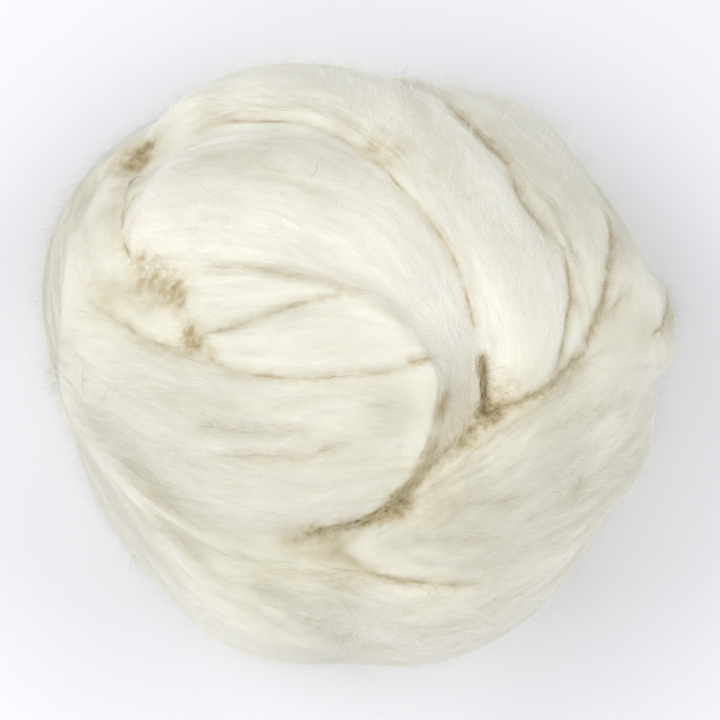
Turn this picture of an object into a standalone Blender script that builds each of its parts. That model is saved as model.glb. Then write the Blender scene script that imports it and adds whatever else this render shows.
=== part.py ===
"""A ball of combed wool roving, wound by hand from one soft strand.

Metres, +Z up. The ball rests on its pressed underside at z = 0 and its origin is the
middle of its footprint. One thick strand is laid round a packed core again and again.
Each time it crosses the ball is a "pass": it slides out from under its neighbours,
swells, flattens over the ball and dives under again. The passes and the core are one
length of wool, so they are made one solid.
"""
import math
from collections import namedtuple

import bpy
import numpy as np

# ---------------------------------------------------------------- sizes
BALL_HALF = np.array([0.0880, 0.0865, 0.0500])   # half length, depth and height of the mean ball
CORE_INSET = np.array([0.010, 0.010, 0.008])     # the packed core lies this far inside it
BALL_CENTRE = np.array([-0.0003, 0.0017, 0.0440])  # from the origin; its height sets the flat spot
SEAT_HALF = np.array([0.050, 0.048, 0.010])      # wool pressed together above the flat spot
SEAT_HEIGHT = 0.006                              # centre of the pressed wool above the floor

SECTION_POWER = 2.3          # 2 is an ellipse, more is squarer at the shoulders
END_CAP = 0.012              # length over which a pass rounds off at each hidden end
GROOVE_DEPTH = 0.0007        # soft hollows that run along the strand
GROOVE_PITCH = 0.013         # from one hollow to the next across the strand
GROOVE_TURN = 9.0            # radians of lazy twist per metre of strand
ROUND_STEPS = 56             # points round a section
LENGTH_STEP = 0.0022         # distance from one section to the next

VOXEL = 0.0021               # grain at which the passes are merged into one solid
SMOOTH_ROUNDS = 3
TRIANGLES = 11000

MM = 0.001
WOOL_COLOUR = (0.760, 0.730, 0.620, 1.0)

# ---------------------------------------------------------------- the passes
# A place on the ball is given from its pole, as on a map of the world seen from above:
# degrees east (+X) and north (+Y). pole is 1 for the top of the ball, -1 for the underside.
# thick: half thickness of the strand, mm. run_in, run_out: degrees it travels while it
# dives under its neighbours; a small run makes a blunt, rolled-over end.
Pass = namedtuple("Pass", "name thick pole run_in run_out bends")

# bends, one row each: east, north (degrees), rise of the outer face above the mean ball
# (mm), half width of the strand (mm)
PASSES = (
    Pass("crown", 14, 1, -2, 5, (
        (-60, 36, -12, 19), (-40, 26, 2, 22), (-18, 21.5, 7, 25.5), (0, 13.5, 7, 23),
        (11.5, 1, 4, 14.5), (17, -11, 3.5, 10.5), (15.5, -21, 4, 9), (10, -31, 3, 8.5),
        (3, -40, 0, 8))),
    Pass("arch", 13, 1, 4, 3, (
        (-61, 60, -3, 13), (-46, 64, 5, 16), (-26, 60, 6, 16.5), (-7, 52, 5.5, 15.5),
        (8.5, 36.5, 7, 16), (20, 19, 6, 16.5), (27.5, 2, 5, 15.5), (29, -8, 3, 12.5), (28, -15, -4, 8))),
    Pass("outer_arch", 12, 1, 12, 4, (
        (6, 78, -6, 13), (23, 51, 2, 15.5), (36, 36, 2.5, 15.5), (46, 19.5, 3, 15),
        (48, 6, 1, 12), (44, -6, -5, 8))),
    Pass("rim_right", 13, 1, 14, 4, (
        (40, 76, 0, 15), (51, 40, -1, 15), (55, 18, 2, 14.5), (57, 4, 3, 13))),
    Pass("tip_right", 9, 1, 6, 10, (
        (74, -2, -2, 9), (78, 6, 4, 9.5), (87, 17, 1, 10), (98, 30, -5, 11))),
    Pass("fan", 15, 1, 5, 12, (
        (-3, -49, -7, 11), (6, -44, 0, 12.5), (26, -35.5, 5, 19.5), (40, -27.5, 4, 22.5),
        (60, -12, 0, 21), (82, -3, -7, 17), (102, 4, -9, 15))),
    Pass("rim_front", 14, 1, 14, 10, (
        (-87, 14, -7, 15), (-72, -24, -6, 16), (-50, -47, -3, 18), (-22, -62, 4.5, 21), (-2, -66, 1, 20),
        (18, -66, 2.5, 20), (50, -57, -3, 17), (76, -45, -10, 15))),
    Pass("belly", 15, 1, 10, 3, (
        (-98, 8, -6, 16), (-63, -6, 0, 18), (-38, -18, 4, 21), (-14, -25, 5, 23),
        (-1, -23, 3, 19.5), (8, -22, -4, 15))),
    Pass("gusset_back", 10, 1, 8, 8, ((-32, 3, -2, 9), (-20, 2, 3.5, 11), (-3, 2, 3, 10))),
    Pass("gusset_front", 11, 1, 7, 6, (
        (-27, -5, -2, 9), (-16, -6, 4, 13), (-2, -5, 4, 14), (9, -5, 0, 11))),
    Pass("rim_left", 12, 1, 14, 10, (
        (-56, 78, 2, 14), (-72, 48, 7.5, 15), (-76, 22, 5.5, 15), (-77, 0, -1, 14),
        (-82, -16, -7, 13))),
    Pass("tuck_left", 10, 1, 8, 6, (
        (-60, 44, -3, 8), (-58, 26, 3, 10.5), (-52, 12, 0, 10), (-46, 8, -6, 9))),
    Pass("tuck_low", 10, 1, 8, 5, ((-60, 11, -2, 10), (-46, 4, 1, 11), (-34, -2, -5, 8))),
    Pass("girdle_front", 14, -1, 14, 14, (
        (-64, 14, -4, 18), (-60, -20, -2.5, 21), (-30, -52, 1, 21), (6, -58, 0.5, 21),
        (40, -44, -3, 20), (64, -14, -9, 16))),
    Pass("girdle_back", 14, -1, 14, 14, (
        (64, -12, -6, 16), (62, 22, -4, 21), (28, 54, -1, 21), (-12, 58, -1, 21),
        (-50, 38, -3, 19), (-61, 16, -8, 15))),
    Pass("base_across", 14, -1, 14, 14, (
        (-42, -22, -3, 21), (-12, -8, 1, 24), (14, 4, 1, 24), (42, 20, -3, 21))),
    Pass("base_back", 13, -1, 14, 14, ((-42, 16, -3, 19), (-14, 26, 0, 20), (14, 37, -3, 18))),
    Pass("base_front", 13, -1, 14, 14, ((-12, -42, -3, 18), (12, -29, 0, 20), (42, -16, -3, 19))),
)

# how a pass goes under at an end: share of the run, mm it has sunk, share of its width left
Dive = namedtuple("Dive", "share sink width")
DIVES = (Dive(0.6, 8, 0.85), Dive(1.0, 20, 0.65))


# ---------------------------------------------------------------- helpers
def unit(vectors):
    """Scale each row to length one."""
    return vectors / np.linalg.norm(vectors, axis=-1, keepdims=True)


def on_ball(east, north, rise, pole):
    """Places on the ball, measured from its centre, for map degrees and a rise in metres."""
    away = np.radians(np.hypot(east, north))
    turn = np.arctan2(north, east)
    sphere = np.stack([
        np.sin(away) * np.cos(turn),
        np.sin(away) * np.sin(turn),
        pole * np.cos(away),
    ], axis=-1)
    return sphere * BALL_HALF + unit(sphere / BALL_HALF) * rise[:, None]


def dive_rows(end, before, run):
    """The rows that carry a pass on past an end row and down under its neighbours."""
    heading = unit(end[:2] - before[:2])
    rows = []
    for dive in DIVES:
        place = end[:2] + heading * run * dive.share
        rows.append([*place, end[2] - dive.sink, end[3] * dive.width])
    return rows


def smooth_curve(knots, rows, at):
    """A curve through every row (cubic pieces with matching slopes), read at given lengths."""
    slope = np.gradient(rows, knots, axis=0)
    piece = np.clip(np.searchsorted(knots, at, side="right") - 1, 0, len(knots) - 2)
    span = (knots[piece + 1] - knots[piece])[:, None]
    t = (at - knots[piece])[:, None] / span
    start = (2 * t**3 - 3 * t**2 + 1) * rows[piece] + (t**3 - 2 * t**2 + t) * span * slope[piece]
    finish = (3 * t**2 - 2 * t**3) * rows[piece + 1] + (t**3 - t**2) * span * slope[piece + 1]
    return start + finish


def lengths_along(line):
    """Distance from the first point to each point of a line."""
    steps = np.linalg.norm(np.diff(line, axis=0), axis=1)
    return np.concatenate([[0.0], np.cumsum(steps)])


def settle(rows, reach):
    """Running mean over `reach` neighbours each side, so sections do not jerk at a bend."""
    padded = np.concatenate([rows[:1].repeat(reach, 0), rows, rows[-1:].repeat(reach, 0)])
    return np.stack([padded[k:k + len(rows)] for k in range(2 * reach + 1)]).mean(axis=0)


def lay_pass(lay):
    """Points of one pass: sections along the strand by points round each section."""
    bends = np.array(lay.bends, dtype=float)
    into = dive_rows(bends[0], bends[1], lay.run_in)[::-1]
    out = dive_rows(bends[-1], bends[-2], lay.run_out)
    east, north, rise, half = np.vstack([into, bends, out]).T
    thick = lay.thick * MM

    # the middle line of the strand, half a thickness below its outer face
    middle = on_ball(east, north, rise * MM - thick, lay.pole)
    rows = np.column_stack([middle, half * MM])
    knots = lengths_along(middle)
    fine = smooth_curve(knots, rows, np.linspace(0, knots[-1], 400))
    length = lengths_along(fine[:, :3])
    at = np.linspace(0, length[-1], round(length[-1] / LENGTH_STEP))
    line = np.stack([np.interp(at, length, fine[:, k]) for k in range(4)], axis=1)
    middle, half = line[:, :3], line[:, 3]

    # each section stands across the strand, its flat way along the ball
    forward = unit(np.gradient(middle, axis=0))
    outward = unit(middle / BALL_HALF**2)
    side = unit(settle(unit(np.cross(outward, forward)), 3))
    up = unit(np.cross(forward, side))

    # a squared-off ellipse, rounded away at both ends and fluted by soft hollows
    angle = np.linspace(0, 2 * math.pi, ROUND_STEPS, endpoint=False)
    flat = np.sign(np.cos(angle)) * np.abs(np.cos(angle)) ** (2 / SECTION_POWER)
    tall = np.sign(np.sin(angle)) * np.abs(np.sin(angle)) ** (2 / SECTION_POWER)
    to_end = np.clip(np.minimum(at, at[-1] - at) / END_CAP, 0, 1)
    cap = np.sqrt(1 - (1 - to_end) ** 2)
    across = half[:, None] * flat
    hollow = GROOVE_DEPTH * np.cos(
        2 * math.pi * across / GROOVE_PITCH + GROOVE_TURN * at[:, None] + lay.thick)
    depth = np.minimum(thick, half)[:, None] - hollow - GROOVE_DEPTH
    across = across * cap[:, None]
    upward = depth * tall * cap[:, None]
    return middle[:, None] + side[:, None] * across[..., None] + up[:, None] * upward[..., None]


def add_mesh(name, points, faces):
    """Link a mesh object made from points and faces."""
    mesh = bpy.data.meshes.new(name)
    mesh.from_pydata(points.tolist(), [], faces)
    mesh.update()
    item = bpy.data.objects.new(name, mesh)
    bpy.context.scene.collection.objects.link(item)
    return item


def add_pass(lay):
    """One pass as a closed tube; the first and last rings are capped."""
    points = lay_pass(lay) + BALL_CENTRE
    rings, around = points.shape[:2]
    faces = []
    for ring in range(rings - 1):
        for k in range(around):
            low = ring * around
            high = low + around
            after = (k + 1) % around
            faces.append((low + k, high + k, high + after, low + after))
    faces.append(tuple(range(around)))
    faces.append(tuple(range(rings * around - 1, (rings - 1) * around - 1, -1)))
    return add_mesh(lay.name, points.reshape(-1, 3), faces)


def add_ellipsoid(name, half, centre):
    """A closed ellipsoid with its size in its mesh."""
    bpy.ops.mesh.primitive_uv_sphere_add(segments=64, ring_count=32, radius=1.0)
    item = bpy.context.object
    item.name = name
    for vertex in item.data.vertices:
        vertex.co = np.array(vertex.co) * half + centre
    return item


def apply_modifier(item, kind, **settings):
    """Add one modifier, set it and apply it."""
    modifier = item.modifiers.new(kind.title(), kind)
    for key, value in settings.items():
        setattr(modifier, key, value)
    bpy.ops.object.select_all(action="DESELECT")
    item.select_set(True)
    bpy.context.view_layer.objects.active = item
    bpy.ops.object.modifier_apply(modifier=modifier.name)


def count_triangles(item):
    """Triangles the mesh has once every face is cut into triangles."""
    return sum(len(face.vertices) - 2 for face in item.data.polygons)


# ---------------------------------------------------------------- build
def build_ball():
    """Wind the passes, merge them with the core, press the underside flat."""
    pieces = [add_pass(lay) for lay in PASSES]
    pieces.append(add_ellipsoid("core", BALL_HALF - CORE_INSET, BALL_CENTRE))
    seat_centre = BALL_CENTRE * (1, 1, 0) + (0, 0, SEAT_HEIGHT)
    pieces.append(add_ellipsoid("seat", SEAT_HALF, seat_centre))

    bpy.ops.object.select_all(action="DESELECT")
    for item in pieces:
        item.select_set(True)
    ball = pieces[0]
    bpy.context.view_layer.objects.active = ball
    bpy.ops.object.join()
    ball.name = "roving_ball"
    ball.data.name = "roving_ball"

    apply_modifier(ball, "REMESH", mode="VOXEL", voxel_size=VOXEL, adaptivity=0.0)
    apply_modifier(ball, "SMOOTH", factor=0.5, iterations=SMOOTH_ROUNDS)
    apply_modifier(ball, "DECIMATE", ratio=TRIANGLES / count_triangles(ball))

    # press flat: everything below the floor is taken off in one level cut
    bpy.ops.mesh.primitive_cube_add(size=1.0, location=(0, 0, -0.05))
    cutter = bpy.context.object
    for vertex in cutter.data.vertices:
        vertex.co = np.array(vertex.co) * (0.4, 0.4, 0.1)
    apply_modifier(ball, "BOOLEAN", operation="DIFFERENCE", solver="EXACT", object=cutter)
    bpy.data.objects.remove(cutter)

    # centre the footprint on the origin
    places = np.array([vertex.co for vertex in ball.data.vertices])
    offset = (places.min(axis=0) + places.max(axis=0)) / 2 * (1, 1, 0)
    for vertex in ball.data.vertices:
        vertex.co = np.array(vertex.co) - offset
    print("moved by", offset.round(5), "size", np.ptp(places, axis=0).round(4))
    return ball


def give_material(item):
    """Undyed wool: warm off-white and quite matt."""
    wool = bpy.data.materials.new("undyed_wool")
    wool.use_nodes = True
    shader = wool.node_tree.nodes["Principled BSDF"]
    shader.inputs["Base Color"].default_value = WOOL_COLOUR
    shader.inputs["Roughness"].default_value = 0.92
    shader.inputs["Metallic"].default_value = 0.0
    item.data.materials.clear()
    item.data.materials.append(wool)


for old in list(bpy.data.objects):
    bpy.data.objects.remove(old, do_unlink=True)
ball = build_ball()
give_material(ball)
bpy.ops.object.select_all(action="DESELECT")
ball.select_set(True)
bpy.context.view_layer.objects.active = ball
bpy.ops.object.shade_smooth_by_angle(angle=math.radians(50))
print("triangles", count_triangles(ball))
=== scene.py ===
# %% [markdown]
# # A ball of combed wool roving
# Roving is wool that has been washed, carded and combed until every fibre lies the same
# way, then drawn out into one thick, soft, untwisted strand. Here about forty millimetres
# of strand width is wound over itself into a ball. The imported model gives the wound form;
# this lesson dresses it: the crossings of the strand are merged into one fluted surface,
# thousands of fine fibres lie along them, and tangles sit in the folds.

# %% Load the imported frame
import math
from collections import namedtuple

import bpy
import numpy as np
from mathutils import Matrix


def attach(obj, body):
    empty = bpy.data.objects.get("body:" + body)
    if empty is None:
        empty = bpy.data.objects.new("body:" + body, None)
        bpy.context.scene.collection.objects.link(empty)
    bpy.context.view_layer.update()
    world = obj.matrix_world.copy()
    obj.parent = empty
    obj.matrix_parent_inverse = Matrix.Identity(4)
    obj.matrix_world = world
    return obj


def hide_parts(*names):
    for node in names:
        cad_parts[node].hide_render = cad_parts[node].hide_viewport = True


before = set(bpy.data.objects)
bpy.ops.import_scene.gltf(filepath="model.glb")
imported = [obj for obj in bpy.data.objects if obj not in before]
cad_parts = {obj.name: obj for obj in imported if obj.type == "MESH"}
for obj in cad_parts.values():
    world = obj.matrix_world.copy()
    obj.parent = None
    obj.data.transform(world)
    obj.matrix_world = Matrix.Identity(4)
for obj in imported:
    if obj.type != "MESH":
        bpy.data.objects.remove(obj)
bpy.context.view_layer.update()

MM = 0.001

# %% [markdown]
# ## The room
# A pale floor and four broad panels of light, high on the left, the right, the front and
# the back, as on a photographer's table. Soft light matters here: wool has no sharp
# highlights, and the folds are read from broad shading and from the warm shade deep
# inside them.

# %% Floor, light and camera
BALL_CENTRE = np.array([-0.0003, 0.0017, 0.0440])
FLOOR_COLOUR = (0.745, 0.743, 0.775)
CAMERA_TILT = 75            # degrees above the floor
CAMERA_REACH = 0.480        # metres from the middle of the ball
WORLD_COLOUR = (0.93, 0.95, 1.0)
WORLD_STRENGTH = 0.04       # very little, so that the lamps shape the folds

bpy.ops.object.select_all(action="DESELECT")
bpy.ops.mesh.primitive_plane_add(size=6.0, location=(0, 0, 0))
floor = bpy.context.object
floor.name = "floor"
paint = bpy.data.materials.new("pale_floor")
paint.use_nodes = True
shader = paint.node_tree.nodes["Principled BSDF"]
shader.inputs["Base Color"].default_value = (*FLOOR_COLOUR, 1)
shader.inputs["Roughness"].default_value = 0.9
floor.data.materials.append(paint)

tilt = math.radians(CAMERA_TILT)
back = np.array([0, -math.cos(tilt), math.sin(tilt)])
bpy.ops.object.camera_add(location=BALL_CENTRE + back * CAMERA_REACH,
                          rotation=(math.pi / 2 - tilt, 0, 0))
camera = bpy.context.object
camera.data.lens = 85
camera.data.clip_start = 0.01
bpy.context.scene.camera = camera

Lamp = namedtuple("Lamp", "name place size power")
LAMPS = (
    Lamp("left_panel", (-0.72, 0.05, 0.69), 1.0, 8.3),
    Lamp("right_panel", (0.77, 0.00, 0.64), 0.9, 6.2),
    Lamp("front_panel", (-0.06, -0.62, 0.78), 1.0, 6.4),
    Lamp("back_panel", (-0.05, 0.82, 0.57), 0.9, 2.9),
)
for lamp in LAMPS:
    aim = BALL_CENTRE - lamp.place
    flat = math.hypot(aim[0], aim[1])
    turn = (math.atan2(flat, -aim[2]), 0, math.atan2(aim[1], aim[0]) - math.pi / 2)
    bpy.ops.object.light_add(type="AREA", location=lamp.place, rotation=turn)
    light = bpy.context.object
    light.name = lamp.name
    light.data.size = lamp.size
    light.data.energy = lamp.power

world = bpy.data.worlds.new("studio")
world.use_nodes = True
background = world.node_tree.nodes["Background"]
background.inputs["Color"].default_value = (*WORLD_COLOUR, 1)
background.inputs["Strength"].default_value = WORLD_STRENGTH
bpy.context.scene.world = world
bpy.context.scene.view_settings.view_transform = "Standard"
print("camera", tuple(round(v, 3) for v in camera.location))

# %% [markdown]
# ## How the strand is laid
# The ball is a squashed sphere. A place on it is given as on a map of the world seen from
# above: degrees east and north of the pole. Each crossing of the strand is a *pass*. It
# slides out from under its neighbours, swells, crosses the ball and dives again. The table
# holds one row for each bend of a pass.

# %% The passes
BALL_HALF = np.array([0.0880, 0.0865, 0.0500])   # half length, depth and height
CORE_INSET = 0.010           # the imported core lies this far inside

# thick: half thickness, mm. run_in, run_out: degrees travelled while it dives at each end.
# bends: east, north (degrees), rise of the outer face (mm), half width (mm).
Pass = namedtuple("Pass", "name thick pole run_in run_out bends")
PASSES = (
    Pass("crown", 14, 1, -2, 5, (
        (-60, 36, -12, 19), (-40, 26, 2, 22), (-18, 21.5, 7, 25.5), (0, 13.5, 7, 23),
        (11.5, 1, 4, 14.5), (17, -11, 3.5, 10.5), (15.5, -21, 4, 9), (10, -31, 3, 8.5),
        (3, -40, 0, 8))),
    Pass("arch", 13, 1, 4, 3, (
        (-61, 60, -3, 13), (-46, 64, 5, 16), (-26, 60, 6, 16.5), (-7, 52, 5.5, 15.5),
        (8.5, 36.5, 7, 16), (20, 19, 6, 16.5), (27.5, 2, 5, 15.5), (29, -8, 3, 12.5),
        (28, -15, -4, 8))),
    Pass("outer_arch", 12, 1, 12, 4, (
        (6, 78, -6, 13), (23, 51, 2, 15.5), (36, 36, 2.5, 15.5), (46, 19.5, 3, 15),
        (48, 6, 1, 12), (44, -6, -5, 8))),
    Pass("rim_right", 13, 1, 14, 4, (
        (40, 76, 0, 15), (51, 40, -1, 15), (55, 18, 2, 14.5), (57, 4, 3, 13))),
    Pass("tip_right", 9, 1, 6, 10, (
        (74, -2, -2, 9), (78, 6, 4, 9.5), (87, 17, 1, 10), (98, 30, -5, 11))),
    Pass("fan", 15, 1, 5, 12, (
        (-3, -49, -7, 11), (6, -44, 0, 12.5), (26, -35.5, 5, 19.5), (40, -27.5, 4, 22.5),
        (60, -12, 0, 21), (82, -3, -7, 17), (102, 4, -9, 15))),
    Pass("rim_front", 14, 1, 14, 10, (
        (-87, 14, -7, 15), (-72, -24, -6, 16), (-50, -47, -3, 18), (-22, -62, 4.5, 21),
        (-2, -66, 1, 20), (18, -66, 2.5, 20), (50, -57, -3, 17), (76, -45, -10, 15))),
    Pass("belly", 15, 1, 10, 3, (
        (-98, 8, -6, 16), (-63, -6, 0, 18), (-38, -18, 4, 21), (-14, -25, 5, 23),
        (-1, -23, 3, 19.5), (8, -22, -4, 15))),
    Pass("gusset_back", 10, 1, 8, 8, ((-32, 3, -2, 9), (-20, 2, 3.5, 11), (-3, 2, 3, 10))),
    Pass("gusset_front", 11, 1, 7, 6, (
        (-27, -5, -2, 9), (-16, -6, 4, 13), (-2, -5, 4, 14), (9, -5, 0, 11))),
    Pass("rim_left", 12, 1, 14, 10, (
        (-56, 78, 2, 14), (-72, 48, 7.5, 15), (-76, 22, 5.5, 15), (-77, 0, -1, 14),
        (-82, -16, -7, 13))),
    Pass("tuck_left", 10, 1, 8, 6, (
        (-60, 44, -3, 8), (-58, 26, 3, 10.5), (-52, 12, 0, 10), (-46, 8, -6, 9))),
    Pass("tuck_low", 10, 1, 8, 5, ((-60, 11, -2, 10), (-46, 4, 1, 11), (-34, -2, -5, 8))),
    Pass("girdle_front", 14, -1, 14, 14, (
        (-64, 14, -4, 18), (-60, -20, -2.5, 21), (-30, -52, 1, 21), (6, -58, 0.5, 21),
        (40, -44, -3, 20), (64, -14, -9, 16))),
    Pass("girdle_back", 14, -1, 14, 14, (
        (64, -12, -6, 16), (62, 22, -4, 21), (28, 54, -1, 21), (-12, 58, -1, 21),
        (-50, 38, -3, 19), (-61, 16, -8, 15))),
    Pass("base_across", 14, -1, 14, 14, (
        (-42, -22, -3, 21), (-12, -8, 1, 24), (14, 4, 1, 24), (42, 20, -3, 21))),
    Pass("base_back", 13, -1, 14, 14, ((-42, 16, -3, 19), (-14, 26, 0, 20), (14, 37, -3, 18))),
    Pass("base_front", 13, -1, 14, 14, ((-12, -42, -3, 18), (12, -29, 0, 20), (42, -16, -3, 19))),
)
Dive = namedtuple("Dive", "share sink width")
DIVES = (Dive(0.6, 8, 0.85), Dive(1.0, 20, 0.65))
print(len(PASSES), "passes")

# %% [markdown]
# ## From table rows to a strand
# The rows are joined by a smooth curve, half a thickness below the outer face. At every
# step along it a frame is set up: forward along the strand, sideways across it and up out
# of the ball. All the shapes that follow are worked out in those frames.

# %% Curves and frames
LENGTH_STEP = 0.0024         # distance between sections along a pass
SECTION_POWER = 2.3          # 2 is an ellipse, more is squarer at the shoulders
END_CAP = 0.012              # length over which a pass closes at each hidden end


def unit(vectors):
    """Scale each row to length one."""
    return vectors / np.maximum(np.linalg.norm(vectors, axis=-1, keepdims=True), 1e-12)


def on_ball(east, north, rise, pole):
    """Places on the ball, from its centre, for map degrees and a rise in metres."""
    away = np.radians(np.hypot(east, north))
    turn = np.arctan2(north, east)
    sphere = np.stack([
        np.sin(away) * np.cos(turn),
        np.sin(away) * np.sin(turn),
        pole * np.cos(away),
    ], axis=-1)
    return sphere * BALL_HALF + unit(sphere / BALL_HALF) * rise[:, None]


def dive_rows(end, before, run):
    """The rows that carry a pass on past an end row and down under its neighbours."""
    heading = unit(end[:2] - before[:2])
    rows = []
    for dive in DIVES:
        place = end[:2] + heading * run * dive.share
        rows.append([*place, end[2] - dive.sink, end[3] * dive.width])
    return rows


def smooth_curve(knots, rows, at):
    """A curve through every row (cubic pieces with matching slopes)."""
    slope = np.gradient(rows, knots, axis=0)
    piece = np.clip(np.searchsorted(knots, at, side="right") - 1, 0, len(knots) - 2)
    span = (knots[piece + 1] - knots[piece])[:, None]
    t = (at - knots[piece])[:, None] / span
    start = (2 * t**3 - 3 * t**2 + 1) * rows[piece] + (t**3 - 2 * t**2 + t) * span * slope[piece]
    finish = (3 * t**2 - 2 * t**3) * rows[piece + 1] + (t**3 - t**2) * span * slope[piece + 1]
    return start + finish


def lengths_along(line):
    """Distance from the first point to each point of a line."""
    steps = np.linalg.norm(np.diff(line, axis=0), axis=1)
    return np.concatenate([[0.0], np.cumsum(steps)])


def settle(rows, reach):
    """Running mean over neighbours, so sections do not jerk at a bend."""
    padded = np.concatenate([rows[:1].repeat(reach, 0), rows, rows[-1:].repeat(reach, 0)])
    return np.stack([padded[k:k + len(rows)] for k in range(2 * reach + 1)]).mean(axis=0)


Spine = namedtuple("Spine", "at middle half thick side up")


def spine_of(lay):
    """Middle line, half width and frames of one pass."""
    bends = np.array(lay.bends, dtype=float)
    into = dive_rows(bends[0], bends[1], lay.run_in)[::-1]
    out = dive_rows(bends[-1], bends[-2], lay.run_out)
    east, north, rise, half = np.vstack([into, bends, out]).T
    thick = lay.thick * MM
    middle = on_ball(east, north, rise * MM - thick, lay.pole)
    rows = np.column_stack([middle, half * MM])
    knots = lengths_along(middle)
    fine = smooth_curve(knots, rows, np.linspace(0, knots[-1], 400))
    length = lengths_along(fine[:, :3])
    at = np.linspace(0, length[-1], round(length[-1] / LENGTH_STEP))
    line = np.stack([np.interp(at, length, fine[:, k]) for k in range(4)], axis=1)
    middle, half = line[:, :3], line[:, 3]
    forward = unit(np.gradient(middle, axis=0))
    outward = unit(middle / BALL_HALF**2)
    side = unit(settle(unit(np.cross(outward, forward)), 3))
    up = unit(np.cross(forward, side))
    return Spine(at, middle, half, np.minimum(thick, half), side, up)


spines = {lay.name: spine_of(lay) for lay in PASSES}
print("strand shown, metres:", round(sum(spine.at[-1] for spine in spines.values()), 2))

# %% [markdown]
# ## Flutes in combed wool
# Combed fibres gather in bundles, so the strand is fluted lengthwise: broad soft hollows,
# narrower ones inside them and a fine comb mark over all. The flutes are smooth random
# waves, stretched far along the strand and short across it. The random numbers are seeded,
# so the ball is the same each time.

# %% Stretched waves
def between(grid, i, j, fx, fy):
    """Grid values the shares fx and fy of the way on from places i, j."""
    near = grid[i, j] * (1 - fy) + grid[i, j + 1] * fy
    far = grid[i + 1, j] * (1 - fy) + grid[i + 1, j + 1] * fy
    return near * (1 - fx) + far * fx


def ease(share):
    """Shares from 0 to 1 that start and stop softly."""
    return share * share * (3 - 2 * share)


def wave_field(rng, along, across, step_along, step_across):
    """Smooth random values from -1 to 1, with one value per step each way, eased between."""
    rows = int(along.max() / step_along) + 3
    low = across.min()
    columns = int((across.max() - low) / step_across) + 3
    values = rng.uniform(-1, 1, (rows, columns))
    x = along / step_along
    y = (across - low) / step_across
    i = np.floor(x).astype(int)
    j = np.floor(y).astype(int)
    return between(values, i, j, ease(x - i), ease(y - j))


Flute = namedtuple("Flute", "depth pitch length")
FLUTES = (                      # mm
    Flute(0.60, 13.0, 90),
    Flute(0.22, 5.0, 70),
    Flute(0.06, 2.2, 50),
)
WANDER = 2.2 * MM               # how far a bundle strays sideways
WANDER_LENGTH = 0.045


def flute_depth(rng, along, across):
    """Height of the flutes over the plain section, metres."""
    stray = wave_field(rng, along, across, WANDER_LENGTH, 0.015) * WANDER
    height = np.zeros_like(along)
    for flute in FLUTES:
        wave = wave_field(rng, along, across + stray, flute.length * MM, flute.pitch * MM)
        height += wave * flute.depth * MM
    return height


# %% [markdown]
# ## Rolling a pass
# Each pass is worked out as a grid of places: its long way follows the spine and its short
# way is rolled round the section. More of the short way's steps fall on the outer face,
# which is the part that is seen. The grid also keeps how far each place is along the strand
# and across it, so that colour and fibres can follow the comb.

# %% Roll the passes
COLUMNS = 150                # steps round a section
CROWDING = 0.55              # more steps on the outer face than below
SEED = 41


def section_angles(share):
    """Angle round the section for a share of the web's width; 0.5 is the outer face."""
    return -math.pi / 2 + 2 * math.pi * (share + CROWDING * np.sin(2 * math.pi * share)
                                         / (2 * math.pi))


Skin = namedtuple("Skin", "name points along across")


def skin_of(lay, number):
    """Grid of places on a pass, (sections, columns), with the flutes worked in."""
    spine = spines[lay.name]
    angle = section_angles(np.linspace(0, 1, COLUMNS + 1))
    flat = np.sign(np.cos(angle)) * np.abs(np.cos(angle)) ** (2 / SECTION_POWER)
    tall = np.sign(np.sin(angle)) * np.abs(np.sin(angle)) ** (2 / SECTION_POWER)
    to_end = np.clip(np.minimum(spine.at, spine.at[-1] - spine.at) / END_CAP, 0, 1)
    cap = np.sqrt(1 - (1 - to_end) ** 2)
    along, turned = np.meshgrid(spine.at, angle, indexing="ij")
    across = turned * spine.half.mean()
    rng = np.random.default_rng(SEED + number)
    height = flute_depth(rng, along, across)
    height[:, -1] = height[:, 0]
    out_side = np.cos(angle)[None, :, None] * spine.side[:, None]
    out_up = np.sin(angle)[None, :, None] * spine.up[:, None]
    wide = (spine.half[:, None] * flat * cap[:, None])[..., None]
    deep = (spine.thick[:, None] * tall * cap[:, None])[..., None]
    points = spine.middle[:, None] + spine.side[:, None] * wide + spine.up[:, None] * deep
    points = points + unit(out_side + out_up) * (height * cap[:, None])[..., None]
    return Skin(lay.name, points, along, across)


skins = [skin_of(lay, number) for number, lay in enumerate(PASSES)]
print("sections a pass:", [len(skin.along) for skin in skins])

# %% [markdown]
# ## Charts of the ball
# The ball is charted twice, from its top and from its underside, like the two maps of a
# globe. Every square of a chart keeps how far a pass rises there over the mean ball, and
# where along and across the strand that is.

# %% Charts
CHART_SIZE = 480             # squares each way
CHART_SPAN = 112             # degrees from the pole to the chart's edge
LOWEST = -0.02
KNOWN = 0.4                  # a square with this share of filled neighbours is filled too
POLES = (1, -1)              # the top, the underside


def direction_of(points):
    """Unit directions on the ball for places measured from its centre."""
    return unit(points / BALL_HALF)


def chart_xy(direction, pole):
    """Chart squares, as fractions, for directions on the ball."""
    rho = np.degrees(np.arccos(np.clip(pole * direction[..., 2], -1, 1)))
    turn = np.arctan2(direction[..., 1], direction[..., 0])
    x = (rho * np.cos(turn) / CHART_SPAN + 1) / 2 * (CHART_SIZE - 1)
    y = (rho * np.sin(turn) / CHART_SPAN + 1) / 2 * (CHART_SIZE - 1)
    return x, y, rho < CHART_SPAN - 1


def rise_of(points):
    """Rise over the mean ball, measured straight out from the centre."""
    reach = np.linalg.norm(points / BALL_HALF, axis=-1)
    mean = np.linalg.norm(direction_of(points) * BALL_HALF, axis=-1)
    return (reach - 1) * mean


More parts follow.
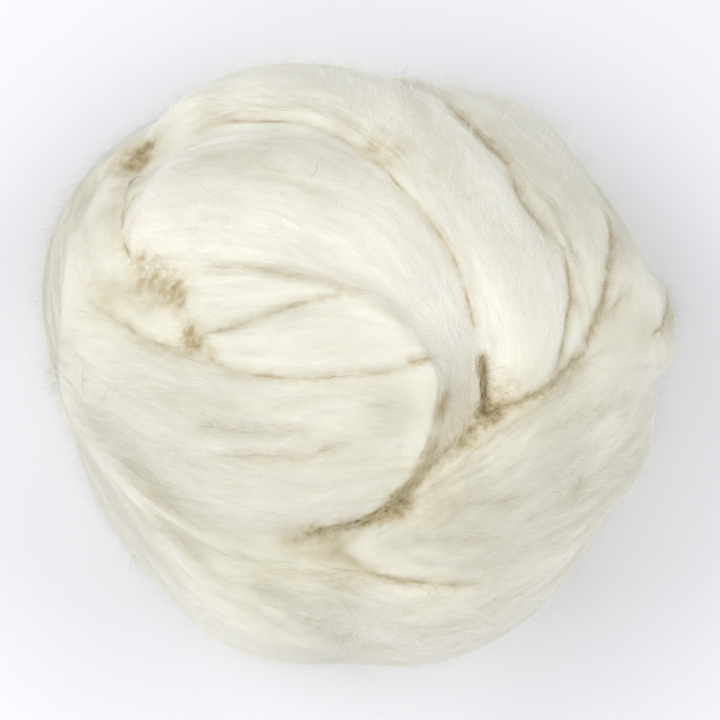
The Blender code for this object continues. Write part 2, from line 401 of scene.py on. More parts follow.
def thicken(grid, down, over):
    """More places between those of a grid, by straight shares, along both its axes."""
    for times in (down, over):
        at = np.linspace(0, len(grid) - 1, (len(grid) - 1) * times + 1)
        i = np.minimum(at.astype(int), len(grid) - 2)
        share = (at - i).reshape(-1, 1, 1)
        grid = (grid[i] * (1 - share) + grid[i + 1] * share).swapaxes(0, 1)
    return grid


def blur(chart, reach):
    """Three running means each way, close to a soft round blur."""
    for _ in range(3):
        for axis in (0, 1):
            total = np.cumsum(np.concatenate([
                np.repeat(np.take(chart, [0], axis), reach + 1, axis), chart,
                np.repeat(np.take(chart, [-1], axis), reach, axis)], axis), axis)
            size = chart.shape[axis]
            width = 2 * reach + 1
            chart = (np.take(total, range(width, size + width), axis)
                     - np.take(total, range(size), axis)) / width
    return chart


def fill_in(charts, weight, reach):
    """Charts averaged over their known neighbours, and the share of those."""
    total = blur(weight, reach)
    filled = [blur(chart * weight, reach) / np.maximum(total, 1e-9) for chart in charts]
    return np.array(filled), total


def chart_skin(skin, pole):
    """Rise, along and across of one pass at the highest place in each square."""
    grid = np.concatenate([skin.points, skin.along[..., None], skin.across[..., None]], axis=2)
    dense = thicken(grid, 6, 2).reshape(-1, 5)
    x, y, inside = chart_xy(direction_of(dense[:, :3]), pole)
    dense, x, y = dense[inside], x[inside], y[inside]
    rise = rise_of(dense[:, :3])
    order = np.argsort(rise)
    square = (np.rint(x).astype(int) * CHART_SIZE + np.rint(y).astype(int))[order]
    charts = np.zeros((3, CHART_SIZE * CHART_SIZE))
    charts[0] = LOWEST
    for chart, value in zip(charts, (rise, dense[:, 3], dense[:, 4])):
        chart[square] = value[order]
    charts = charts.reshape(3, CHART_SIZE, CHART_SIZE)
    charts, total = fill_in(charts, (charts[0] > LOWEST).astype(float), 1)
    charts[0] = np.where(total > KNOWN, charts[0], LOWEST)
    return charts


def read_chart(chart, x, y):
    """Chart value between squares."""
    i = np.clip(np.floor(x).astype(int), 0, CHART_SIZE - 2)
    j = np.clip(np.floor(y).astype(int), 0, CHART_SIZE - 2)
    return between(chart, i, j, np.clip(x - i, 0, 1), np.clip(y - j, 0, 1))


skin_charts = {pole: np.stack([chart_skin(skin, pole) for skin in skins]) for pole in POLES}
print("charts", skin_charts[1].shape)

# %% [markdown]
# ## Merging the passes
# Soft wool does not stand apart like rope. Where two passes meet they press together and
# only a shallow fold is left, and in some places their fibres mingle until no fold is left
# at all. The passes are merged by a smooth maximum: its softness is small where a fold is
# crisp and large where the wool is mingled. What is still deep is then closed up by a share
# of its depth.

# %% Merge
Spot = namedtuple("Spot", "east north reach share")     # degrees, and a share from 0 to 1


def spots(*rows):
    """Name the columns of a table of spots on the top chart."""
    return [Spot(*row) for row in rows]


MINGLED = spots(           # here the last column is the softness, mm
    (57, 1, 11, 3.6), (64, 12, 11, 3.6), (48, 22, 6, 1.8), (40, -47, 14, 3.2),
    (-17, -40, 7, 1.6), (-30, -38, 9, 2.6), (-40, -31, 10, 3.2), (-50, -22, 11, 3.6),
    (-58, -6, 12, 3.6), (-62, 14, 13, 3.6), (-56, 32, 11, 3.4), (-47, 9, 8, 3.4),
    (-34, 0, 7, 2.0), (-42, 30, 5, 1.4), (78, 10, 14, 2.4), (70, 3, 7, 2.8), (-43, 49, 9, 2.4),
    (13, -13, 8, 3.0), (-52, 39, 6, 1.0), (9, 18, 6, 1.5), (14, 10, 6, 1.8), (17, 0, 6, 1.8),
    (-3, 3, 6, 1.6), (-49, 27, 8, 0.5), (15, -23, 9, 1.6),
)
CRISP = 0.55 * MM            # softness of the other folds on top
CRISP_UNDER = 1.2 * MM       # and of all folds on the underside
OPENINGS = spots(
    (22, 39, 7, 0.75), (29, 25, 4, 0.35), (22, -14, 2, 0.5), (32, -12, 5, 0.3),
    (45, 5, 5, 0.35), (-53, 49, 4, 0.6), (6, -34, 3, 0.5), (-6, -41, 3, 0.5),
    (-28, -5, 3, 0.4),
)
CLOSED_DEPTH, OPEN_DEPTH = 0.30 * MM, 1.0 * MM      # this much of a fold is always kept
CLOSED_KEPT, OPEN_KEPT = 0.10, 0.50                 # share kept of what lies deeper
OPEN_FROM, OPEN_FULL = 64, 84                       # degrees from the pole
FOLD_REACH = 11              # chart squares looked over for a fold's brim
MINGLED_FULLY = 1.6 * MM     # a round of smoothing is full at this softness over its start
MINGLED_ROUNDS = ((4, 0.2 * MM), (9, 1.4 * MM))      # chart squares, softness at the start
SEAM_GAIN = 2.4              # brings the middle of a smoothed seam line back to 1
SEAM_FULL = 2.5 * MM         # depth of a fold whose seam is drawn at full strength
SEAM_DEPTH = 0.35 * MM       # pressed in along a seam at full strength
SEAM_SHADE = 0.26            # and how dark its painted shade is there

side = np.linspace(-CHART_SPAN, CHART_SPAN, CHART_SIZE)
chart_east, chart_north = np.meshgrid(side, side, indexing="ij")


def near_spot(spot, spread=1, power=2):
    """1 at a spot of the top chart, falling off to 0 about one reach away from it."""
    away = np.hypot(chart_east - spot.east, chart_north - spot.north)
    return np.exp(-(away / (spot.reach * spread))**power)


def raised(chart, table, unit_size=1, **fall):
    """A top chart, raised to the share of each spot of a table."""
    for spot in table:
        chart = np.maximum(chart, spot.share * unit_size * near_spot(spot, **fall))
    return chart


def softness_chart(pole):
    """How softly neighbours blend in each square of a chart, metres."""
    if pole == -1:
        return np.full(chart_east.shape, CRISP_UNDER)
    return blur(raised(np.full(chart_east.shape, CRISP), MINGLED, MM, power=4), 6)


def opening_chart(pole):
    """How open the folds are in each square of a chart: closed on top, open at the sides."""
    if pole == -1:
        return np.ones(chart_east.shape)
    far = np.hypot(chart_east, chart_north)
    opened = np.clip((far - OPEN_FROM) / (OPEN_FULL - OPEN_FROM), 0, 1)
    return blur(raised(opened, OPENINGS, power=4), 3)


def merge(pole):
    """For each square: rise of the merged wool, outermost pass, and seam strength."""
    rises = skin_charts[pole][:, 0]
    packed = np.full(rises.shape[1:], -CORE_INSET)
    top = np.maximum(rises.max(axis=0), packed)
    softness = softness_chart(pole)
    total = sum(np.exp((rise - top) / softness) for rise in (*rises, packed))
    merged = blur(top + softness * np.log(total), 1)
    depth = blur(merged, FOLD_REACH) - merged
    opened = opening_chart(pole)
    always = CLOSED_DEPTH + (OPEN_DEPTH - CLOSED_DEPTH) * opened
    kept = CLOSED_KEPT + (OPEN_KEPT - CLOSED_KEPT) * opened
    merged += np.maximum(depth - always, 0) * (1 - kept)
    outermost = rises.argmax(axis=0)
    edge = (outermost != np.roll(outermost, 1, 0)) | (outermost != np.roll(outermost, 1, 1))
    seam = np.clip(blur(edge.astype(float), 1) * SEAM_GAIN, 0, 1)
    seam *= np.clip(depth / SEAM_FULL, 0, 1)
    for reach, start in MINGLED_ROUNDS:
        share = np.clip((softness - CRISP - start) / MINGLED_FULLY, 0, 1) * (pole == 1)
        merged += (blur(merged, reach) - merged) * share
        seam *= 1 - share
    return merged - seam * SEAM_DEPTH, outermost, seam


surface, owner, seams = {}, {}, {}
for pole in POLES:
    surface[pole], owner[pole], seams[pole] = merge(pole)
print("rise of the merged wool, mm:", (surface[1].min() / MM).round(1),
      "to", (surface[1].max() / MM).round(1))

# %% [markdown]
# ## Furrows, stains and painted crease shade
# Within a pass the fibres part in shallow furrows, and here and there a fold is pinched
# into a narrow slit. Both are drawn as curves on the top chart and pressed into the wool.
# Along them, and in tangled spots, the wool is darkened to straw and brown: partly stained, as
# short waste fibres and grease dull the white, partly painted shade in the creases and slits. A
# chart of both is kept for the colour.

# %% Furrows, stains and painted crease shade
# depth: mm. width: degrees. stain and shade: stain with painted crease shade, 0 to 1. places:
# degrees east and north along the curve.
Furrow = namedtuple("Furrow", "depth width stain places")
FURROWS = [Furrow(*row) for row in (
    (0.3, 2, 0.1, ((-30.3, 30.4), (-20.1, 24.5), (-10.5, 19))),
    (0.35, 2.2, 0.12, ((-29.1, 33.1), (-16.6, 24.6), (-9, 19.2), (-2.2, 13.5))),
    (0.45, 2.8, 0.12, ((8.4, 58.9), (10.2, 33.7), (13.7, 26.7), (17, 18.2), (18.2, 12.3))),
    (0.55, 1.6, 0.16, ((-27.1, -18.8), (-16, -20), (-5.8, -19.7))),
    (0.6, 1.6, 0.2, ((-22.5, -23.7), (-9.2, -24.2), (-1.2, -21.5))),
    (0.3, 1.6, 0.1, ((-35, -13.2), (-20, -16.1), (-4.6, -15.8))),
    (0.4, 1.8, 0.16, ((13.3, -33.8), (19.6, -32.2), (27.1, -31.9))),
    (0.4, 1.8, 0.14, ((8.8, -40.8), (16.3, -39.8), (24.7, -39.8))),
    (0.35, 2, 0.1, ((26.3, -21.7), (38, -17.3), (56.9, -13.1))),
    (0.9, 4, 0.14, ((-22, -47), (-13.6, -52.9), (-7.5, -61.7), (0.4, -69.1), (11.3, -70))),
    (0.6, 2.6, 0.12, ((-46.7, -36.7), (-34.4, -44.1), (-22.1, -52.2), (-12.1, -64.2))),
    (0.6, 1.3, 0.5, ((48.8, 24.8), (48.4, 19.6), (46.6, 12), (45.8, 6.9), (45.8, 1.2),
        (42.6, -5.2))),
    (0.5, 1.6, 0.55, ((42.6, -5.2), (37, -9.4), (31.6, -13.8), (26.4, -16.3), (23.1, -17.9))),
    (0.45, 1.6, 0.42, ((15.9, 47.9), (22.3, 38.1), (27.7, 30.1), (28.1, 21.9), (32.1, 17.7),
        (37.5, 13.8))),
    (0.5, 1.4, 0.46, ((37.5, 13.8), (38.5, 8), (39.4, 4.3), (35.2, -5), (33.7, -9.9))),
    (1.8, 1, 1, ((20.2, -7.6), (21.3, -11.6), (22.1, -15.6), (22.2, -18.4))),
    (1.2, 1.6, 1, ((20.6, -17), (22.1, -18.7), (24.6, -17))),
    (0.5, 1, 0.6, ((14.8, -14), (14.3, -16.4), (13.3, -19.1))),
    (0.4, 1, 0.4, ((7.5, -9.1), (9.9, -8.9), (11.9, -8.2))),
    (0.35, 1.1, 0.35, ((-5.8, -44.9), (-1.5, -47.9), (2.1, -49.8), (7.7, -50.2),
        (22.9, -50.6))),
    (0.35, 2, 0.4, ((13.5, -22.1), (11.7, -26.3), (8.8, -30.7), (5.7, -34.2))),
    (0.45, 1, 0.5, ((19.7, -20.5), (15.5, -23.7), (11.2, -28.1), (8.5, -32.8), (5.1, -35.8))),
    (0.7, 1.6, 0.85, ((6.8, -34.5), (2.9, -37.9), (-1.9, -40.3), (-8.4, -40.5))),
    (0.4, 2, 0.22, ((51.9, 8), (49.3, 4.9), (46.8, 2.1))),
    (0.7, 3.4, 0.45, ((78.6, 16.2), (81.3, 11.5), (68.1, 3.3), (59.3, -0.5))),
    (0.4, 1, 0.28, ((-28.6, -3.9), (-19.1, -2.7), (-9, 0.2), (-2.3, 1.8), (1.8, 1.7))),
    (0.3, 1, 0.22, ((-27.8, 8.2), (-18.8, 7), (-9, 4.4), (0.9, 2.2))),
    (0.35, 1.2, 0.24, ((-28.5, -5.9), (-20.8, -10.4), (-9.3, -11.8), (3.2, -11.1),
        (10.6, -9.4))),
    (0.5, 1.6, 0.3, ((-51.4, 4.8), (-43.6, -0.4), (-39.8, -3.3), (-34.2, -5.3), (-29.5, -6))),
    (0.3, 1.2, 0.25, ((-32.3, 47.8), (-21.7, 43), (-11.1, 38.9), (-2.5, 31), (1.9, 26.1))),
    (0.3, 1.1, 0.26, ((1.9, 26.1), (6.3, 20), (10.9, 14), (14.4, 8.7), (16.7, 3), (18.4, -3.4),
        (20, -7.1))),
    (0.8, 3, 0.06, ((-61.1, 40.3), (-60.1, 31.3), (-57.5, 20.9), (-54.4, 13.5), (-50.4, 7.9))),
    (0.7, 2.7, 0.27, ((-52.3, 47), (-52.4, 37.9), (-49.3, 28.1), (-47.3, 19.6), (-44, 13.5),
        (-38.5, 10.4))),
)]
# spots darkened partly by stains of waste fibres, partly by painted shade
STAIN_AND_SHADE_SPOTS = spots(
    (-51, 50, 2.2, 0.8), (-53, 48, 2.2, 0.8), (-54, 45, 2.1, 0.72), (-55, 42, 1.8, 0.45),
    (-50, 37, 3.2, 0.36), (-48, 28, 3.2, 0.36), (-45, 20, 3.4, 0.28), (-52, 35, 1.8, 0.34),
    (-49, 25, 1.5, 0.32), (-46, 17, 1.5, 0.4), (-41, 12, 2.4, 0.46), (-37, 8, 3, 0.48),
    (-33, 5, 2.7, 0.6), (-32, 3, 2.1, 0.55), (-37, 5, 2.4, 0.5), (-40, 8, 2.7, 0.45),
    (-49, 6, 3.1, 0.32), (-53, 10, 2.1, 0.25), (-47, 3, 2.1, 0.23), (-30, -3, 1.8, 0.6),
    (-29, -5, 2.1, 0.66), (-25, -7, 1.3, 0.46), (25, -15, 3.1, 0.34), (19, -21, 1.5, 0.69),
    (18, -23, 1.8, 0.52), (22, -19, 1.8, 0.69), (7, -34, 1.5, 1), (6, -36, 1.5, 0.8),
    (-8, -40, 1.5, 0.92), (-6, -42, 2.1, 0.52), (-11, -41, 2.4, 0.46), (15, -25, 3.1, 0.3),
    (12, -29, 3, 0.32), (17, -20, 2.8, 0.32), (22, -18, 1.9, 1), (17, -18, 4.5, 0.22),
    (12, -31, 4.5, 0.26), (-2, -39, 1.8, 0.57), (-40, -33, 3.6, 0.16), (-39, -36, 2.7, 0.21),
    (-35, -39, 2.7, 0.18), (12, 23, 2.1, 0.14), (14, 21, 1.8, 0.14), (16, 20, 1.5, 0.14),
    (6, 27, 1.8, 0.29), (-3, 34, 1.5, 0.23), (2, 28, 1.8, 0.4), (4, 25, 1.5, 0.34),
    (29, 25, 1.8, 0.29), (23, 39, 1.8, 0.23), (39, 4, 1.5, 0.4), (39, -31, 1.3, 0.29),
    (69, 5, 2.1, 0.4), (58, -20, 4.8, 0.07), (-6, -56, 6.7, 0.11), (12, -58, 6.7, 0.14),
    (23, -54, 6.3, 0.11), (43, -49, 6.7, 0.09), (-9, -45, 3.1, 0.18), (-3, -49, 2.7, 0.18),
)
CURVE_STEP = 0.4             # degrees between the points of a drawn curve
CURVE_ROUNDS = 20            # rounds of smoothing that take the corners off
FADE = 0.18                  # share of a furrow's length over which each end fades
FADED = 0.15                 # what is left of a furrow at its very ends
WINDOW = 9                   # degrees round a point of a curve that it can press
STAIN_SPREAD = 1.5           # a spot fades out over this many times its reach


def curve_of(furrow):
    """A furrow's smooth curve on the top chart, degrees."""
    rows = np.array(furrow.places, float)
    reach = np.hypot(*np.diff(rows, axis=0).T)
    knots = np.concatenate([[0], np.cumsum(reach)])
    at = np.linspace(0, knots[-1], int(knots[-1] / CURVE_STEP) + 2)
    curve = np.stack([np.interp(at, knots, rows[:, k]) for k in (0, 1)], axis=1)
    for _ in range(CURVE_ROUNDS):
        curve[1:-1] = (curve[:-2] + 2 * curve[1:-1] + curve[2:]) / 4
    return at, curve


def press_furrow(furrow):
    """Nearness of each square of the top chart to a furrow's curve, 0 to 1."""
    at, curve = curve_of(furrow)
    near = np.zeros(chart_east.shape)
    for share, (east, north) in zip(at / at[-1], curve):
        fade = min(1, min(share, 1 - share) / FADE + FADED)
        window = (np.abs(chart_east - east) < WINDOW) & (np.abs(chart_north - north) < WINDOW)
        away = np.hypot(chart_east[window] - east, chart_north[window] - north)
        near[window] = np.maximum(near[window], fade * np.exp(-(away / furrow.width)**2))
    return near


# painted shade along the seams starts the chart of stain and painted crease shade
stain = {pole: seams[pole] * SEAM_SHADE for pole in POLES}
for furrow in FURROWS:
    pressed = press_furrow(furrow)
    surface[1] -= pressed * furrow.depth * MM
    stain[1] = np.maximum(stain[1], pressed * furrow.stain)
stain[1] = raised(stain[1], STAIN_AND_SHADE_SPOTS, spread=STAIN_SPREAD)
print(len(FURROWS), "furrows,", len(STAIN_AND_SHADE_SPOTS), "stained spots")

# %% Tone of each pass, with painted shade and painted light
PASS_TONE_AND_SHADE = {                   # how much greyer than the palest wool each pass is, 0 to 1: partly the strand's own tone, partly painted shade on passes at the sides and below
    "crown": 0.00, "arch": 0.00, "outer_arch": 0.18, "rim_right": 0.30, "tip_right": 0.55,
    "fan": 0.42, "rim_front": 0.06, "belly": 0.28, "gusset_back": 0.20, "gusset_front": 0.14,
    "rim_left": 0.62, "tuck_left": 0.52, "tuck_low": 0.58, "girdle_front": 0.00,
}
TONE_AND_SHADE_BEHIND = 0.12           # passes not named above, greyed by the same mix of tone and painted shade
# painted shade: greyer spots at the sides, over the lit tip and along folds
PAINTED_SHADE_SPOTS = spots(
    (-48, 5, 6, 0.75), (-62, 0, 8, 0.75), (-51, -20, 8, 0.55), (-15, -46, 7, 0.8),
    (50, -1, 7, 0.85), (15, -33, 6, 0.4), (0, -24, 7, 0.5), (-30, 28, 9, 0.45),
    (-4, 26, 6, 0.4), (9, -16, 5, 0.55), (-33, 43, 7, 0.85), (-14, 31, 7, 0.55),
    (-43, -28, 6, 1), (-36, -34, 6, 1), (-29, -39, 6, 0.85), (-22, -42, 6, 0.75),
    (-46, 47, 6, 1), (-45, 38, 7, 1), (-5, 33, 5, 0.55), (34, 20, 7, 0.6), (36, -10, 5, 0.75),
    (-4, -47, 6, 0.85), (57, 0, 7, 1), (-53, 26, 6, 0.85), (6, -16, 6, 0.8), (42, 26, 6, 0.45),
)
PAINTED_LIGHT_SPOTS = spots(          # painted light: paler spots, the share is taken off the greyness
    (17, -2, 5, 0.4), (12, 5, 6, 0.2), (4, 6, 6, 0.1), (19, 20, 6, 0.26), (3, -67, 8, 0.48),
    (44, 44, 9, 0.5), (45, -23, 6, 0.35), (-12, -15, 5, 0.3),
)

# each pass's tone, partly painted shade, starts the chart of painted shade and light
tones = np.array([PASS_TONE_AND_SHADE.get(row.name, TONE_AND_SHADE_BEHIND) for row in PASSES])
tone_and_shade = {pole: tones[owner[pole]] for pole in POLES}
tone_and_shade[1] = raised(tone_and_shade[1], PAINTED_SHADE_SPOTS)
for spot in PAINTED_LIGHT_SPOTS:
    tone_and_shade[1] = tone_and_shade[1] - spot.share * near_spot(spot)
tone_and_shade = {pole: blur(tone_and_shade[pole], 3) for pole in POLES}
print(len(PAINTED_SHADE_SPOTS), "greyer spots,", len(PAINTED_LIGHT_SPOTS), "paler ones")

# %% [markdown]
# ## One way back to space
# Everything from here on is placed by a direction from the ball's centre and a height over
# the merged wool. The two charts are eased into each other in a band round the girdle.

# %% Place things on the wool
FLOOR_GAP = 0.2 * MM
BAND = 0.16                  # half the height of the band, on the unit ball


def read_both(charts, direction):
    """Read a pair of charts, top and underside, eased into each other at the girdle."""
    share = ease(np.clip((direction[..., 2] + BAND) / (2 * BAND), 0, 1))
    values = [read_chart(charts[pole], *chart_xy(direction, pole)[:2]) for pole in POLES]
    return values[0] * share + values[1] * (1 - share)


def on_wool(direction, height=0.0):
    """Places at a height over the merged wool, never below the floor."""
    mean = direction * BALL_HALF
    rise = read_both(surface, direction) + height
    places = mean + unit(mean) * rise[..., None] + BALL_CENTRE
    places[..., 2] = np.maximum(places[..., 2], FLOOR_GAP)
    return places


def on_top(east, north, height):
    """Places at a height over the merged wool, for map degrees of the top chart."""
    sphere = on_ball(east.ravel(), north.ravel(), np.zeros(east.size), 1)
    return on_wool(direction_of(sphere).reshape(*east.shape, 3), height)


Hollow = namedtuple("Hollow", "reach depth share")     # chart squares, metres, 0 to 1
HOLLOWS = (Hollow(6, 2.0 * MM, 0.7), Hollow(15, 6.0 * MM, 0.3))
shelter = {}                 # how deep in its surroundings the wool lies, 0 to 1; it masks painted shade in folds
for pole in POLES:
    shelter[pole] = sum(
        hollow.share * np.clip((blur(surface[pole], hollow.reach) - surface[pole])
                               / hollow.depth, 0, 1) for hollow in HOLLOWS)

# %% [markdown]
# ## The wool's surface
# A cube is cut into small faces and blown up to a ball, which gives faces of nearly the
# same size all over, with no poles. It is then set on the merged wool.

# %% Surface
CUBE_CUTS = (63, 1)          # cuts of each edge in turn: 128 faces along an edge
UP_SHIFT = 0.22              # more faces for the upper half, which is seen most
FACE_SPAN = math.pi / 4 * 0.999                      # angle from a face's middle to its edge


def blow_up(flat):
    """Cube places to directions on the unit ball, evenly spaced."""
    round_out = np.tan(flat * FACE_SPAN)
    direction = unit(round_out)
    direction[:, 2] += UP_SHIFT * (1 - direction[:, 2] ** 2)
    level = np.sqrt(1 - direction[:, 2] ** 2)
    direction[:, :2] = unit(direction[:, :2]) * level[:, None]
    return direction


def read_owner(direction):
    """Number of the outermost pass in each direction."""
    found = []
    for pole in POLES:
        x, y, _ = chart_xy(direction, pole)
        x = np.clip(np.rint(x).astype(int), 0, CHART_SIZE - 1)
        y = np.clip(np.rint(y).astype(int), 0, CHART_SIZE - 1)
        found.append(owner[pole][x, y])
    return np.where(direction[:, 2] > 0, found[0], found[1])


bpy.ops.object.select_all(action="DESELECT")
bpy.ops.mesh.primitive_cube_add(size=2)
wool = bpy.context.object
wool.name = "wound_wool"
bpy.ops.object.mode_set(mode="EDIT")
bpy.ops.mesh.select_all(action="SELECT")
for cuts in CUBE_CUTS:
    bpy.ops.mesh.subdivide(number_cuts=cuts)
bpy.ops.object.mode_set(mode="OBJECT")
mesh = wool.data
flat = np.empty(len(mesh.vertices) * 3)
mesh.vertices.foreach_get("co", flat)
direction = blow_up(flat.reshape(-1, 3))
mesh.vertices.foreach_set("co", on_wool(direction).ravel())
mesh.update()
bpy.ops.object.shade_smooth()
pieces = {"wound_wool": wool}
print("surface", len(mesh.polygons), "faces")

# %% [markdown]
# Each face reads the comb chart of the pass it lies on, so the comb marks run along the
# strand and stop at a fold. The charts are smoothed first, and spread a little past their
# own edges, so that a face on the edge finds a value for all its corners.

# %% Comb chart of each face
def comb_charts(pole):
    """Along and across charts of each pass, smoothed and spread past its edges."""
    return np.array([fill_in(charts[1:], (charts[0] > LOWEST).astype(float), 2)[0]
                     for charts in skin_charts[pole]])


combs = {pole: comb_charts(pole) for pole in POLES}
corner = np.empty(len(mesh.loops), dtype=int)
mesh.loops.foreach_get("vertex_index", corner)
corner = corner.reshape(-1, 4)
face_way = unit(direction[corner].mean(axis=1))
face_owner = read_owner(face_way)
comb_uv = np.zeros((*corner.shape, 2))
for number in range(len(skins)):
    mine = face_owner == number
    ways = direction[corner[mine]]
    for pole in POLES:
        x, y, _ = chart_xy(ways, pole)
        this_side = (face_way[mine][:, 2] * pole > 0)[:, None]
        for k in (0, 1):
            value = read_chart(combs[pole][number, k], x, y)
            comb_uv[mine, :, k] = np.where(this_side, value, comb_uv[mine, :, k])
mesh.uv_layers[0].data.foreach_set("uv", comb_uv.ravel())


def write_value(mesh, name, values):
    """Store one number for each vertex."""
    mesh.attributes.new(name, "FLOAT", "POINT").data.foreach_set("value", values)


def write_charts(mesh, direction):
    """Store what the charts of shelter, stain with painted crease shade, and tone with painted
    shade and light say at each vertex.
    """
    for name, charts in (("shelter", shelter), ("stain", stain), ("tone_and_shade", tone_and_shade)):
        write_value(mesh, name, read_both(charts, direction))


write_charts(mesh, direction)
print("passes seen:", len(np.unique(face_owner)))

# %% [markdown]
# ## Wool as a material
# Undyed wool is warm off-white, and each pass has its own tone. On passes at the sides and in
# some spots the colour is painted greyer as shade, in others paler as painted light. Deep in
# folds it is painted straw-coloured as shade, where light has passed through more wool. It
# scatters light inside, so shadows are soft, and it has a faint sheen at grazing angles. A shared
# group turns the strand's own chart (along, across) into comb marks. Stains and painted crease
# shade darken in steps, from straw to brown.

# %% Comb marks, a shared group
def add_node(tree, kind, inputs, **settings):
    """Add a shader node. Each input is given a value, or linked where a socket is given."""
    node = tree.nodes.new("ShaderNode" + kind)
    for name, value in settings.items():
        setattr(node, name, value)
    for name, value in inputs.items():
        if isinstance(value, bpy.types.NodeSocket):
            tree.links.new(value, node.inputs[name])
        else:
            node.inputs[name].default_value = value
    return node


def times(tree, value, factor):
    """Output socket with a product."""
    return add_node(tree, "Math", {0: value, 1: factor}, operation="MULTIPLY").outputs[0]


def scaled(tree, value, given, wanted=(0.0, 1.0), curve="LINEAR"):
    """Output socket with a value brought from one range to another."""
    inputs = {"From Min": given[0], "From Max": given[1], "To Min": wanted[0],
              "To Max": wanted[1], "Value": value}
    return add_node(tree, "MapRange", inputs, interpolation_type=curve).outputs["Result"]


def comb_group():
    """Node group: streaks that run along the strand, as a mask and as a height."""
    group = bpy.data.node_groups.new("comb_marks", "ShaderNodeTree")
    new_socket = group.interface.new_socket
    new_socket("Chart", in_out="INPUT", socket_type="NodeSocketVector")
    for name in ("Across per Metre", "Along per Metre", "Contrast"):
        new_socket(name, in_out="INPUT", socket_type="NodeSocketFloat")
    for name in ("Mask", "Height"):
        new_socket(name, in_out="OUTPUT", socket_type="NodeSocketFloat")
    given = group.nodes.new("NodeGroupInput").outputs
    out = group.nodes.new("NodeGroupOutput").inputs
    scale = add_node(group, "CombineXYZ",
                     {"X": given["Along per Metre"], "Y": given["Across per Metre"]})
    stretched = add_node(group, "VectorMath", {0: given["Chart"], 1: scale.outputs["Vector"]},
                         operation="MULTIPLY")
    noise = add_node(group, "TexNoise", {
        "Vector": stretched.outputs["Vector"], "Scale": 1.0, "Detail": 3.0,
        "Roughness": 0.6, "Distortion": 0.35}, noise_dimensions="2D").outputs["Fac"]
    mask = times(group, scaled(group, noise, (0.32, 0.68)), given["Contrast"])
    group.links.new(mask, out["Mask"])
    group.links.new(noise, out["Height"])
    return group


comb_marks = comb_group()

# %% The wool of the strand
PALE_WOOL = (0.852, 0.844, 0.780)
SHADE_WOOL = (0.725, 0.714, 0.625)
# painted shade: the grey that the pass tone and painted shade mix towards
TONE_AND_SHADE_GREY = (0.575, 0.562, 0.455)
# painted shade: straw colour deep in folds
FOLD_SHADE_WOOL = (0.440, 0.370, 0.205)
STAIN_AND_SHADE_STEPS = (              # colour, and the stain and painted crease shade at which it starts and is full
    ((0.500, 0.390, 0.190), 0.00, 0.80),
    ((0.315, 0.235, 0.085), 0.36, 0.92),
    ((0.135, 0.086, 0.022), 0.66, 1.02),
)
MOTTLE_SCALE = 420.0         # mottles of the stain and painted shade, about 2 mm across
MOTTLE_NOISE, MOTTLE_SHARE = (0.30, 0.62), (0.35, 1.15)
SHELTERED, FOLDED = (0.28, 1.00), (0.0, 0.9)         # shelter to share of the painted fold shade colour
Comb = namedtuple("Comb", "across along contrast")   # marks per metre each way
COMBS = (Comb(80, 9, 0.7), Comb(330, 10, 0.60), Comb(1500, 26, 0.3))
COMB_BUMP = {"Strength": 0.25, "Distance": 0.0002}


def wool_shader(name, roughness=0.9, sheen=0.70, under=0.8):
    """A material with wool's constant settings; returns it with its shader node."""
    paint = bpy.data.materials.new(name)
    paint.use_nodes = True
    shader = paint.node_tree.nodes["Principled BSDF"]
    for socket, value in (
            ("Roughness", roughness), ("Sheen Weight", sheen), ("Sheen Roughness", 0.5),
            ("Specular IOR Level", 0.15), ("Subsurface Weight", under),
            ("Subsurface Radius", (1.0, 0.85, 0.6)), ("Subsurface Scale", 0.005)):
        shader.inputs[socket].default_value = value
    return paint, shader


def mix_colour(tree, factor, low, high):
    """Mix two colours (a colour or an output socket each) by a factor socket."""
    sides = [(*side, 1) if isinstance(side, tuple) else side for side in (low, high)]
    mix = add_node(tree, "Mix", {"Factor": factor, "A": sides[0], "B": sides[1]},
                   data_type="RGBA")
    return mix.outputs["Result"]


def stored(tree, name):
    """Output socket with a number that the mesh keeps for each vertex."""
    return add_node(tree, "Attribute", {}, attribute_name=name).outputs["Fac"]


def stain_and_shade_colour(tree, colour):
    """Darken a colour by the attribute of stain and painted crease shade, broken up in small
    mottles.
    """
    place = add_node(tree, "TexCoord", {}).outputs["Object"]
    mottle = add_node(tree, "TexNoise",
                      {"Vector": place, "Scale": MOTTLE_SCALE, "Detail": 4.0}).outputs["Fac"]
    part = times(tree, stored(tree, "stain"), scaled(tree, mottle, MOTTLE_NOISE, MOTTLE_SHARE))
    for tan, start, full in STAIN_AND_SHADE_STEPS:
        colour = mix_colour(tree, scaled(tree, part, (start, full)), colour, tan)
    return colour


def mix_tone_and_shade(tree, colour, strength):
    """Mix a colour towards grey by the attribute of pass tone, painted shade and painted light,
    times a strength.
    """
    mixed = mix_colour(tree, times(tree, stored(tree, "tone_and_shade"), strength), colour, TONE_AND_SHADE_GREY)
    mixed.node.clamp_factor = False          # below 0 the colour moves away from grey: painted light
    return mixed


